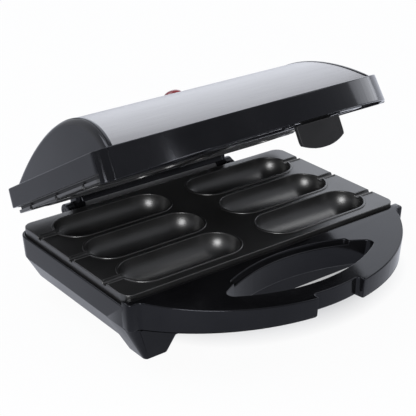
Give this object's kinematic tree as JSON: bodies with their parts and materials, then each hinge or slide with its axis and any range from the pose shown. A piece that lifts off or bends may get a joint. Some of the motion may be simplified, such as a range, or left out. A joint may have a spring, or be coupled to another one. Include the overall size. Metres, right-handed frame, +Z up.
{
  "type": "corn dog maker",
  "caption": "Countertop corn dog maker: two moulded non-stick plates hinged at the back, in gloss black housings with half-round handles, an arched steel lid cover and a front latch.",
  "frame": {"origin": "middle of the bounding box's bottom face, on the floor under the feet", "axes": "+X to the right along the hinge line, +Y to the back where the hinge is, +Z up; the lid is part open at rest"},
  "size_m": [0.2556, 0.2314, 0.1775],
  "materials": {
    "housing": "gloss black moulding",
    "latch": "fine satin black",
    "plate": "satin black non-stick coating",
    "steel": "satin brushed",
    "sheet": "plain sheet",
    "element": "dull sheath",
    "insulator": "matt white",
    "terminal": "matt off-white",
    "brass": "plain",
    "screw": "zinc plated",
    "gland": "matt black",
    "rubber": "matt dark grey",
    "lens": "clear red",
    "lamp": "clear"
  },
  "bodies": {
    "base": {"base_housing": "housing", "foot_pads": "rubber", "lower_plate": "plate", "lower_heater": "element", "lower_heater_ends": "insulator", "lower_heater_clamp": "sheet", "lower_clamp_screw": "screw", "lower_reflector": "sheet", "thermostat": "insulator", "thermal_fuse": "brass", "fuse_clip": "sheet", "terminal_block": "terminal", "base_screws": "screw", "cord_gland": "gland", "hinge_pins": "screw"},
    "lid": {"lid_housing": "housing", "lid_cover": "steel", "upper_plate": "plate", "upper_heater": "element", "upper_heater_ends": "insulator", "upper_heater_clamp": "sheet", "upper_clamp_screw": "screw", "upper_reflector": "sheet", "lid_screws": "screw", "hinge_barrel": "latch", "indicator_lens": "lens", "lamp_holder": "terminal", "indicator_lamp": "lamp", "latch_pin": "screw"},
    "latch": {"latch_clip": "latch"}
  },
  "joints": [
    {"name": "lid_hinge", "type": "hinge", "parent": "base", "child": "lid", "pos_m": [0, 0.10932, 0.0462], "axis": [-1, 0, 0], "range_deg": [-29.7, 70]},
    {"name": "latch_pivot", "type": "hinge", "parent": "lid", "child": "latch", "pos_m": [0, -0.07387, 0.16543], "axis": [-1, 0, 0], "range_deg": [-6, 8]}
  ]
}
